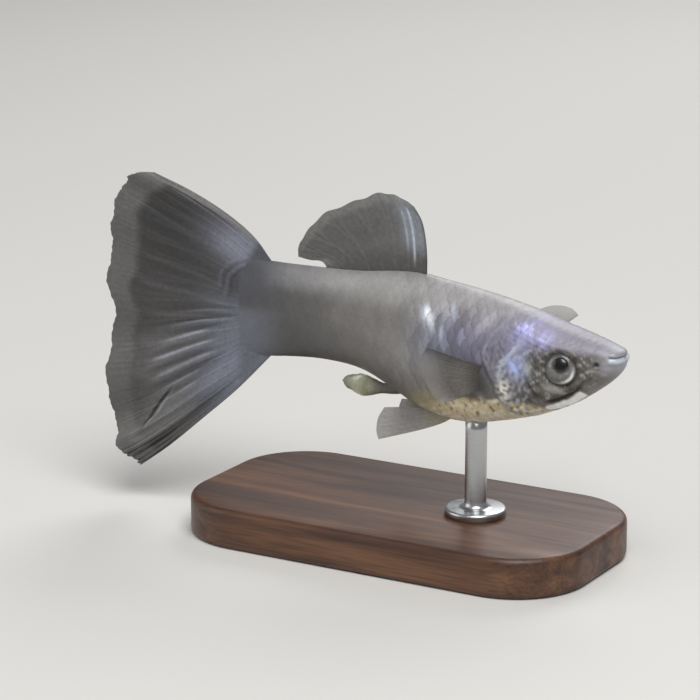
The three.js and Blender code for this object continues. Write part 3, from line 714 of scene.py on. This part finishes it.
def make_eye(side, name, material):
    """An eyeball: a net round its own axis, with the lens standing out in the pupil and a groove round it.

    Colour follows the angle from the pupil's axis: black lens, dark ring, grey iris with a painted
    reflection, a bright crescent along its lower front, and a darker rim.
    """
    rows, columns = 150, 160
    polar = (np.arange(1, rows + 1) / (rows + 1) * math.pi)[:, None]
    turn = (np.arange(columns) / columns * 2 * math.pi)[None, :]
    out = np.cos(polar) + 0 * turn
    fore, rise = np.sin(polar) * np.cos(turn), np.sin(polar) * np.sin(turn)
    look = np.array([math.cos(PUPIL_UP) * math.cos(PUPIL_FORWARD), math.sin(PUPIL_FORWARD),
                     math.sin(PUPIL_UP)])
    look = look / np.linalg.norm(look)
    away = np.degrees(np.arccos(np.clip(out * look[0] + fore * look[1] + rise * look[2], -1, 1)))
    lens = 0.045 * (1 - smooth(PUPIL_ANGLE - 9, PUPIL_ANGLE, away))
    groove = -0.03 * bell(away - PUPIL_ANGLE - 2, 3.5)
    grow = 1 + lens + groove
    x, y, z = fore * EYE_RADIUS * grow, out * EYE_DEPTH * grow, rise * EYE_RADIUS * grow
    ca, sa = math.cos(EYE_UP), math.sin(EYE_UP)
    y, z = y * ca - z * sa, y * sa + z * ca
    cb, sb = math.cos(EYE_FORWARD), math.sin(EYE_FORWARD)
    x, y = x * cb + y * sb, y * cb - x * sb
    rings = to_world(EYE_S - x, side * (EYE_Y + y), EYE_H + z)
    # Degrees round the pupil and round the ball's axis, 0 forwards and 90 up, and degrees off that axis
    angle = np.degrees(np.arctan2(rise - look[2], fore - look[1]))
    direction = np.degrees(np.arctan2(rise, fore))
    radius = np.degrees(np.arccos(np.clip(out, -1, 1)))
    # Painted reflection: a bright crescent on the iris's lower front
    glint = bell(radius - 54, 7.5) * bell(direction + 45, 38)
    tones = paint("#6c6a67", away.shape, [
        (0.5 * smooth(0.0, 0.8, ripple(fore * 9, rise * 9, 41)), "#8e8c87"),
        (0.8 * within(0, 50, 120, 170, angle) * smooth(30, 38, away), "#56535a"),
        (smooth(50, 62, radius), "#757272"),
        (0.5 * smooth(50, 58, radius) * smooth(0.0, 0.9, ripple(fore * 7, rise * 7, 42)), "#93918f"),
        (smooth(62, 82, radius), "#4e4b4a"),
        (0.75 * smooth(-0.3, 0.5, rise) * smooth(46, 56, radius), "#474443"),
        (bell(away - PUPIL_ANGLE - 3, 3.0) * 0.7, "#3b3937"),
        (bell(radius - 44, 5) * bell(direction + 50, 30) * 0.7, "#45423d"),
        (glint * 1.5, "#f4f3ee"),
        (1 - smooth(PUPIL_ANGLE - 2, PUPIL_ANGLE + 2, away), "#08080b"),
    ])
    if side < 0:
        rings, tones, glint = rings[:, ::-1], tones[:, ::-1], glint[:, ::-1]
    # The painted reflection is also the eye's silver, which makes it metallic
    piece = make_net(name, material, rings, tones, {"silver": np.clip(glint * 0.7, 0, 1)})
    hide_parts(name.replace("_ball", ""))


# Fins

def branched_rays(u, v, rays, first_fork, second_fork):
    """Nearness to a ray, 0 to 1. Rays fork at first_fork of their length, their branches at second_fork."""
    x = np.mod(u * rays, 1.0) - 0.5
    first = 0.25 * smooth(first_fork, 1.15, v)
    second = 0.125 * smooth(second_fork, 1.1, v)
    width = 0.085 - 0.03 * smooth(0.2, 0.9, v)
    near = np.zeros(np.broadcast(u, v).shape)
    for a in (-1, 1):
        for b in (-1, 1):
            near = np.maximum(near, bell(x - a * first - b * second, width))
    return near


def fin_patch(base, margin, first, last, u, v):
    """A surface between four edges: straight lines from base to margin, plus each side edge's faded curve."""
    p = base(u) * (1 - v)[..., None] + margin(u) * v[..., None]
    for edge, share in ((first, 1 - u), (last, u)):
        zero, one = edge(np.zeros(1))[0], edge(np.ones(1))[0]
        p = p + (edge(v) - zero * (1 - v)[..., None] - one * v[..., None]) * share[..., None]
    return p


def bent(points):
    """A curve of (s, h, y) points as a function of its parameter, on the bent midline, giving (s, y, h)."""
    swapped = [(p[0], p[2] if len(p) > 2 else 0.0, p[1]) for p in points]

    def place(t):
        p = curve(swapped, t)
        return np.stack([p[..., 0], p[..., 1] + midline(p[..., 0]), p[..., 2]], -1)
    return place


def straight(a, b):
    """A straight edge between two points."""
    return lambda t: a + (b - a) * np.asarray(t)[..., None]


def make_fin(name, node, edges, columns, rows, wave, rays, forks, membrane, ray_height, colour, material):
    """A fin as a closed sheet. Both faces are the patch moved by half its thickness: a thin membrane with
    rays that stand up from it and fork towards the margin. colour gives its tones and how solid it is."""
    v, u = np.meshgrid(np.linspace(0, 1, rows + 1), np.linspace(0, 1, columns + 1), indexing="ij")
    p = fin_patch(*edges, u, v)
    p[..., 1] += wave(u, v)
    near = branched_rays(u, v, rays, *forks)
    world = to_world(p[..., 0], p[..., 1], p[..., 2])
    normal = grid_normals(world, wrap=False)
    thin = 1 - 0.75 * smooth(0.9, 1.0, v)
    half = (membrane + ray_height * near * smooth(0.08, 0.3, v)) * thin * MM
    rim = np.minimum(1, np.minimum(u, 1 - u) * columns / 3 + 0.35)
    half = half * rim
    verts = np.concatenate([(world + side * normal * half[..., None]).reshape(-1, 3) for side in (1, -1)])
    wide, face = columns + 1, (columns + 1) * (rows + 1)
    j, i = (a.ravel() for a in np.meshgrid(np.arange(rows), np.arange(columns), indexing="ij"))
    a, b, c, d = j * wide + i, j * wide + i + 1, (j + 1) * wide + i + 1, (j + 1) * wide + i

    def strip(start, end):
        return np.stack([end, start, face + start, face + end], -1)

    # Both faces, then the strips that join them along the root, the margin and the two side edges
    k, left = np.arange(columns), np.arange(rows) * wide
    last, right = rows * wide + k, left + columns
    faces = np.concatenate([
        np.stack([a, b, c, d], -1), np.stack([face + d, face + c, face + b, face + a], -1),
        strip(k, k + 1), strip(last + 1, last), strip(left + wide, left), strip(right, right + wide)])
    # The first face must look along the normal
    span_u = world[rows // 2, columns] - world[rows // 2, 0]
    span_v = world[rows, columns // 2] - world[0, columns // 2]
    if np.dot(np.cross(span_v, span_u), normal[rows // 2, columns // 2]) > 0:
        faces = faces[:, ::-1]
    tones, body = colour(u, v, near)
    tones = np.concatenate([tones.reshape(-1, 3)] * 2)
    piece = make_piece(name, material, verts, faces.tolist(), tones, {"body": np.tile(body.ravel(), 2)})
    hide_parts(node)


NOTCH_AT, NOTCH_WIDTH, NOTCH_DEPTH = 0.455, 0.03, 0.85
# Waves of the ragged margin: rate along it, height in millimetres and phase
RAGGED = [(61, 0.09, 0), (97, 0.07, 1), (211, 0.03, 0), (389, 0.025, 2)]


def caudal_margin(u):
    """The rear margin: a curve with a ragged wave, one notch and a nick in the lower tip."""
    p = bent([(42.4, -14.45), (43.9, -12.8), (44.65, -9.6), (44.75, -4.6), (44.65, 0.4), (44.35, 4.6),
              (43.6, 8.3), (42.3, 9.9), (40.6, 10.1)])(u)
    ragged = sum(height * np.sin(u * rate + phase) for rate, height, phase in RAGGED)
    ragged = ragged * smooth(0, 0.08, np.minimum(u, 1 - u)) - 0.3 * bell(u - 0.035, 0.009)
    p[..., 0] += ragged - NOTCH_DEPTH * bell(u - NOTCH_AT, NOTCH_WIDTH)
    return p


def caudal_pleats(u, v):
    """Fine pleats between the rays of the lower half, from -1 to 1, strongest near the root."""
    start = 0.22 + 0.7 * (0.46 - u) + 0.05 * np.sin(37 * u) + 0.03 * np.sin(83 * u)
    reach = within(start, start + 0.16, 0.36 + 0.3 * bell(u - 0.3, 0.12), 0.8, v)
    lower = within(0.12, 0.24, 0.42, 0.54, u)
    return np.sin(2 * math.pi * (23 * u + 1.1 * v) + 1.3 * np.sin(11 * u + 2 * v)) * reach * lower


def caudal_wave(u, v):
    """Folds along the rays, deep in the lower half and shallow above, plus finer pleats near the root."""
    deep = 0.42 - 0.22 * smooth(0.35, 0.65, u)
    broad = deep * v * np.sin(2 * math.pi * (5.2 * u + 0.15 * v)) * smooth(0.05, 0.5, v)
    tip = 0.12 * np.sin(2 * math.pi * 42 * u) * smooth(0.55, 0.8, v) * smooth(0.13, 0.07, u)
    return broad + 0.075 * caudal_pleats(u, v) + tip


def caudal_colour(u, v, near):
    """Dark grey with a lighter band along the margins, blue grey towards the root, painted highlight and
    shade on the pleats in the lower half, two short folds above them painted as shade and highlight, and a
    slit in the lower lobe painted as a dark line of shade."""
    pleat = caudal_pleats(u, v)
    streak = np.clip(np.sin(2 * math.pi * (15 * u - 0.8 * v) + 2 * np.sin(7 * u)), 0, 1) ** 3
    band = smooth(0.83, 0.89, v + 0.008 * np.sin(u * 60) + 0.012 * np.sin(u * 23))
    upper = smooth(0.952 - 0.02 * v, 0.97 - 0.02 * v, u) * smooth(0.15, 0.35, v)
    lower = 0.7 * smooth(0.045, 0.02, u) * smooth(0.35, 0.6, v)
    pale = (bell(u - 0.1, 0.02) + 0.6 * bell(u - 0.145, 0.01)) * within(0.45, 0.6, 0.85, 0.95, v)
    # The slit runs from (0.225, 0.661) towards the margin, with a pale lip in front of it; the fin stays
    # whole, and a near-black line of painted shade stands in for the opening
    off_slit = u - 0.225 + 0.065 * (v - 0.661) / 0.136
    layers = [
        (0.3 * smooth(0.1, 0.9, ripple(u * 9, v * 5, 61)), "#4a4948"),
        (spots(u, v, (0.85, 0.8, 0.68, 0.2, 0.26)), "#2f2e2e"),
        (spots(u, v, (0.8, 0.27, 0.66, 0.16, 0.2)), "#666463"),
        (smooth(0.5, 0.14, v) * smooth(0.62, 0.8, u) * 0.9, "#777a85"),
        (spots(u, v, (0.85, 0.84, 0.33, 0.12, 0.2)), "#858896"),
        (smooth(0.62, 0.14, v) * smooth(0.62, 0.5, u) * 0.85, "#6c707b"),
        (spots(u, v, (0.7, 0.2, 0.28, 0.17, 0.24)), "#7c8090"),
        (spots(u, v, (0.6, 0.6, 0.2, 0.1, 0.2)), "#4b4b50"),
        # Painted highlight where the pleats bulge one way, painted shade where they bulge the other
        (np.clip(pleat, 0, 1) ** 2 * 0.8, "#9b9da6"),
        (np.clip(-pleat, 0, 1) * 0.5, "#3c3b3f"),
        (streak * within(0.2, 0.4, 0.75, 0.88, v) * 0.22 * (1 - 0.6 * smooth(0.5, 0.7, u)), "#72706f"),
        (np.maximum(band, lower) * 0.92, "#5f5e5d"),
        (upper * 0.9, "#777675"),
        (pale * 0.6, "#858381"),
        (bell(off_slit + 0.018, 0.005) * within(0.62, 0.7, 0.76, 0.82, v) * 0.7, "#8f8d8a"),
        # Painted shade: the slit's near-black line
        (smooth(0.012, 0.004, np.abs(off_slit)) * within(0.62, 0.68, 0.79, 0.83, v), "#0d0c0c"),
    ]
    # Two short folds where the fan leaves the stalk, painted only: each a line of painted shade with a
    # painted highlight behind it
    for k in range(2):
        off_fold = v - 0.127 - 0.153 * smooth(0.86, 0.62, u) - 0.055 * k
        reach = within(0.5 + 0.04 * k, 0.62, 0.84 - 0.05 * k, 0.93 - 0.05 * k, u)
        layers.append((bell(off_fold, 0.018) * reach * (0.7 - 0.3 * k), "#33343e"))
        layers.append((bell(off_fold - 0.028, 0.014) * reach * 0.25, "#7d808c"))
    root, above = smooth(0.24, 0.16, v) * 0.95, smooth(0.4, 0.58, u)
    layers += [(near * 0.06, "#7d7978"), (root * (1 - above), "#63666f"), (root * above, "#505157")]
    solid = 0.985 - 0.09 * smooth(0.8, 0.95, v) - 0.04 * (1 - near) * smooth(0.3, 0.7, v)
    return paint("#3e3d3d", u.shape, layers), solid


def make_caudal(material):
    """The delta tail fan with forked rays."""
    edges = (bent([(30.4, -3.75), (30.9, 0), (30.4, 3.95)]), caudal_margin,
             bent([(30.4, -3.75), (33.5, -6.95), (36.2, -9.35), (39.7, -12.4), (42.4, -14.45)]),
             bent([(30.4, 3.95), (31.8, 5.6), (33.9, 7.1), (37.1, 8.75), (40.6, 10.1)]))
    make_fin("tail_fan", "caudal_fin", edges, 404, 118, caudal_wave, 17, (0.22, 0.5), 0.055, 0.03,
             caudal_colour, material)


def dorsal_colour(u, v, near):
    """Grey, darker towards the base, bluish in front, with a blue white streak near the leading edge."""
    streak = bell(u - 0.125, 0.012) * within(0.1, 0.3, 0.8, 0.9, v)
    streak = streak + 0.45 * bell(u - 0.185, 0.01) * within(0.25, 0.4, 0.7, 0.85, v)
    rim = np.maximum(smooth(0.82, 0.92, v), smooth(0.78, 0.92, u) * smooth(0.1, 0.4, v))
    tones = paint("#626160", u.shape, [
        (0.3 * smooth(0.1, 0.9, ripple(u * 8, v * 4, 62)), "#737170"),
        (smooth(0.45, 0.1, v) * 0.8, "#4a4948"),
        (spots(u, v, (0.5, 0.5, 0.55, 0.18, 0.3)), "#565453"),
        (smooth(0.29, 0.14, u) * smooth(0.2, 0.45, v) * 0.85, "#7f858d"),
        (rim * 0.75, "#767573"),
        (streak * 0.9, "#b4bcc6"),
        (smooth(0.035, 0.0, u) * 0.6, "#45423f"),
        (near * 0.07, "#8a8784"),
    ])
    return tones, 0.985 - 0.1 * smooth(0.75, 0.97, v) - 0.04 * (1 - near)


def make_dorsal(material):
    """The dorsal fin, whose rear lobe hangs free over the back, with a gently scalloped rim."""
    front, rear, sunk, rays = 16.8, 25.2, 0.5, 8

    def base(u):
        s = front + (rear - front) * u
        return np.stack([s, midline(s), section(1, s) - sunk], -1)

    rim = bent([(18.1, 9.4), (19.4, 9.95), (20.9, 10.2), (22.9, 9.45), (25.5, 8.2), (27.2, 6.45), (28.1, 5.1),
                (28.3, 4.35)])

    def margin(u):
        p = rim(u)
        p[..., 2] += 0.08 * np.sin(math.pi * u) * np.cos(2 * math.pi * (rays * u - 0.5))
        return p

    def wave(u, v):
        return 0.5 * v * np.sin(2 * math.pi * (1.1 * u + 0.1)) * smooth(0, 0.6, v)

    root_front, root_rear = (front, float(section(1, front)) - sunk), (rear, float(section(1, rear)) - sunk)
    edges = (base, margin, bent([root_front, (16.8, 5.5), (17.0, 7.0), (17.4, 8.4), (18.1, 9.4)]),
             bent([root_rear, (25.9, 4.22), (27.2, 4.24), (28.3, 4.35)]))
    make_fin("dorsal_sail", "dorsal_fin", edges, 260, 100, wave, rays, (0.3, 0.62), 0.05, 0.035,
             dorsal_colour, material)


def paired_colour(root, middle, rim, solid, clear):
    """A membrane whose tone runs from root to rim, darker along its leading edge and clearer at the rim."""
    def colour(u, v, near):
        tones = paint(middle, u.shape, [
            (smooth(0.45, 0.1, v), root),
            (smooth(0.6, 0.95, v) * smooth(0.02, 0.2, u), rim),
            (smooth(0.09, 0.0, u) * 0.7, root),
            (near * 0.09, rim),
        ])
        body = solid + (clear - solid) * smooth(0.35, 1.0, v) + 0.1 * near * smooth(1.0, 0.6, v)
        return tones, np.clip(np.maximum(body, 0.95 * smooth(0.35, 0.1, v)), 0, 0.98)
    return colour


def make_paired(name, node, root, rim, cup, rays, columns, rows, colour, material, bulge=0.0):
    """A paired fin from a short root line to a rounded margin, whose leading edge may bulge down."""
    base, margin = bent(root), bent(rim)
    ends = [(base(np.array(t)), margin(np.array(t))) for t in (0.0, 1.0)]
    level = straight(*ends[0])

    def first(t):
        p = level(t)
        p[..., 2] -= bulge * np.sin(math.pi * np.sqrt(t))
        return p

    def wave(u, v):
        return cup * v * v * np.sin(math.pi * u)

    edges = (base, margin, first, straight(*ends[1]))
    make_fin(name, node, edges, columns, rows, wave, rays, (0.35, 0.7), 0.03, 0.016, colour, material)


def make_gonopodium(material):
    """The male's anal fin: a jointed rod that swells to a soft hood near its tip."""
    rows, columns = 150, 64
    t = np.linspace(0, 1, rows)
    spine = bent([(18.0, -4.5), (19.8, -5.15), (21.6, -5.2), (24.15, -5.05)])(t)
    radius = 0.36 + 0.3 * bell(t, 0.3) + 0.52 * bell(t - 0.76, 0.18)
    radius = radius * np.sqrt(1 - 0.98 * smooth(0.9, 1, t) ** 3)
    angle = np.arange(columns) / columns * 2 * math.pi
    joints = 0.012 * np.sin(2 * math.pi * t * 26)[:, None] * smooth(0.25, 0.4, t)[:, None]
    groove = -0.05 * bell(np.mod(angle / math.pi - 0.5, 1.0) - 0.5, 0.12) * smooth(0.55, 0.7, t)[:, None]
    r = radius[:, None] + joints + groove
    lumps = ripple(t[:, None] * 34, 3 * np.sin(angle[None, :]), 51) * bell(t - 0.76, 0.2)[:, None]
    r = r + 0.07 * lumps
    y = spine[:, 1:2] - 0.6 * r * np.sin(angle)
    h = spine[:, 2:3] + r * np.cos(angle)
    s = np.broadcast_to(spine[:, 0:1], h.shape)
    rings = to_world(s, y, h)
    hood = bell(t - 0.78, 0.2)[:, None] + 0 * h
    tones = paint("#63615a", h.shape, [
        (hood * 1.05, "#a0a089"),
        (hood * smooth(0.1, 0.8, lumps), "#dcdccb"),
        (hood * smooth(0.1, 0.8, -lumps) * 0.6, "#77775f"),
    ])
    piece = make_net("gonopodium_rod", material, rings, tones, {"body": np.full(h.shape, 0.98)})
    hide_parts("gonopodium")


# Stand

def make_base(material):
    """The wooden base: a rounded oblong carried up a profile with rounded edges, closed to its middle."""
    corners = 48
    quarter = np.linspace(0, math.pi / 2, corners)
    angle = np.concatenate([quarter + k * math.pi / 2 for k in range(4)])
    quadrant = np.repeat(np.arange(4), corners)
    centre_x = np.where((quadrant == 0) | (quadrant == 3), 1, -1) * (BASE_LENGTH / 2 - BASE_CORNER)
    centre_y = np.where(quadrant < 2, 1, -1) * (BASE_WIDTH / 2 - BASE_CORNER)
    turn = np.linspace(0, math.pi / 2, 9)
    lower = [(BASE_ROUND * (1 - math.sin(a)), BASE_ROUND * (1 - math.cos(a))) for a in turn]
    upper = [(inset, BASE_HEIGHT - z) for inset, z in reversed(lower)]
    inner = [BASE_CORNER * 0.5, BASE_CORNER * 0.92]
    profile = [(i, 0.0) for i in reversed(inner)] + lower + upper + [(i, BASE_HEIGHT) for i in inner]
    inset, z = (np.array(column)[:, None] for column in zip(*profile))
    x = centre_x + (BASE_CORNER - inset) * np.cos(angle)
    y = centre_y + (BASE_CORNER - inset) * np.sin(angle)
    rings = np.stack([x, y, z + 0 * x], -1) * MM
    piece = make_net("walnut_base", material, rings)
    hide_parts("stand_base")


def make_rod(material):
    """The steel rod: a turned profile with a stepped foot, carried round an upright axis into the belly."""
    belly = SNOUT_Z + float(section(2, ROD_AT))
    sunk, edge = BASE_HEIGHT - 0.05, 0.2
    foot = BASE_HEIGHT + ROD_STEP
    profile = [(0.5 * ROD_FOOT, sunk), (ROD_FOOT, sunk), (ROD_FOOT, foot - edge)]
    for a in np.linspace(0.2, 1.57, 6):
        profile.append((ROD_FOOT - edge * (1 - math.cos(a)), foot - edge * (1 - math.sin(a))))
    for a in np.linspace(0, 1.57, 9):
        profile.append((ROD_RADIUS + ROD_FILLET * (1 - math.sin(a)), foot + ROD_FILLET * (1 - math.cos(a))))
    profile += [(ROD_RADIUS, belly - 0.6), (ROD_RADIUS, belly + 0.25), (0.6 * ROD_RADIUS, belly + 0.3)]
    r, z = (np.array(column)[:, None] for column in zip(*profile))
    angle = np.arange(72) / 72 * 2 * math.pi
    x = SNOUT_X - ROD_AT + r * np.cos(angle)
    rings = np.stack([x, r * np.sin(angle), z + 0 * x], -1) * MM
    piece = make_net("steel_rod", material, rings)
    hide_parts("stand_rod")


# Stage

def make_camera():
    """The camera at the photo's azimuth and elevation, aimed at a point on the fish's middle plane."""
    a, e = math.radians(CAMERA_AZIMUTH), math.radians(CAMERA_ELEVATION)
    target = Vector(((SNOUT_X - LOOK_S) * MM, 0.0, (SNOUT_Z + LOOK_H) * MM))
    outward = Vector((math.sin(a) * math.cos(e), -math.cos(a) * math.cos(e), math.sin(e)))
    data = bpy.data.cameras.new("camera")
    data.sensor_width = 36.0
    data.lens = data.sensor_width * PIXELS_PER_MM * CAMERA_DISTANCE / PHOTO_SIDE
    data.clip_start = 0.01
    camera = bpy.data.objects.new("camera", data)
    camera.location = target + outward * CAMERA_DISTANCE * MM
    camera.rotation_euler = (-outward).to_track_quat("-Z", "Y").to_euler()
    bpy.context.scene.collection.objects.link(camera)
    bpy.context.scene.camera = camera


def add_area(name, place, aim, size, watts):
    """A square soft light that points at a place, in metres."""
    data = bpy.data.lights.new(name, "AREA")
    data.size = size
    data.energy = watts
    light = bpy.data.objects.new(name, data)
    light.location = place
    light.rotation_euler = (Vector(aim) - Vector(place)).to_track_quat("-Z", "Y").to_euler()
    bpy.context.scene.collection.objects.link(light)


def make_stage():
    """A pale floor, a pale room and three soft lights."""
    mesh = bpy.data.meshes.new("floor")
    mesh.from_pydata([(-1.5, -1.5, 0), (1.5, -1.5, 0), (1.5, 1.5, 0), (-1.5, 1.5, 0)], [], [(0, 1, 2, 3)])
    mesh.materials.append(floor_material())
    floor = bpy.data.objects.new("floor", mesh)
    bpy.context.scene.collection.objects.link(floor)
    world = bpy.data.worlds.new("room")
    world.use_nodes = True
    background = world.node_tree.nodes["Background"]
    background.inputs["Color"].default_value = (*linear("#dfe1e4"), 1)
    background.inputs["Strength"].default_value = 0.3
    bpy.context.scene.world = world
    middle = (0.0, 0.0, 0.015)
    add_area("key_light", (0.14, -0.16, 0.34), middle, 0.24, 1.4)
    add_area("fill_light", (-0.3, -0.2, 0.16), middle, 0.3, 0.38)
    add_area("back_light", (-0.05, 0.3, 0.25), middle, 0.22, 0.55)
    bpy.context.scene.view_settings.view_transform = "Standard"


make_camera()
make_stage()
make_skin(skin_material())
eye_finish = eye_material()
make_eye(-1, "eye_right_ball", eye_finish)
make_eye(1, "eye_left_ball", eye_finish)
tail_finish = fin_material("tail_fan_membrane", 3000.0)
make_caudal(tail_finish)
make_dorsal(tail_finish)
clear_finish = fin_material("clear_fin_membrane", 4500.0)
right_pectoral = paired_colour("#454340", "#66625e", "#8a8784", 0.94, 0.34)
make_paired("pectoral_fan_right", "pectoral_fin_right",
            [(9.95, -1.75, -2.3), (10.35, -2.5, -2.35), (10.6, -3.25, -2.2)],
            [(13.5, 0.35, -6.0), (14.0, -0.5, -6.25), (13.75, -2.0, -6.35), (13.1, -3.4, -6.0),
             (12.4, -4.05, -5.4)],
            0.35, 12, 150, 80, right_pectoral, clear_finish)
left_pectoral = paired_colour("#55524f", "#6f6c6a", "#8f8d8b", 0.7, 0.4)
make_paired("pectoral_fan_left", "pectoral_fin_left",
            [(9.95, -1.75, 2.3), (10.35, -2.5, 2.35), (10.6, -3.25, 2.2)],
            [(7.6, 0.55, 7.7), (8.5, 0.85, 8.1), (10.2, 0.85, 8.1), (11.7, 0.15, 7.6), (12.6, -0.95, 6.9)],
            0.35, 12, 150, 80, left_pectoral, clear_finish)
pelvic = paired_colour("#958e7a", "#7b7876", "#8a8784", 0.85, 0.62)
for side, word in ((-1, "right"), (1, "left")):
    make_paired("pelvic_fan_" + word, "pelvic_fin_" + word,
                [(13.9, -6.2, side * 0.8), (14.8, -6.1, side * 0.65), (15.6, -5.9, side * 0.5)],
                [(19.6, -8.6, side * 2.5), (20.0, -8.1, side * 2.3), (20.1, -7.2, side * 1.9),
                 (19.7, -6.3, side * 1.4)],
                -side * 0.25, 6, 90, 60, pelvic, clear_finish, 0.4)
make_gonopodium(fin_material("gonopodium_skin", 5200.0))
make_base(walnut_material())
make_rod(steel_material())
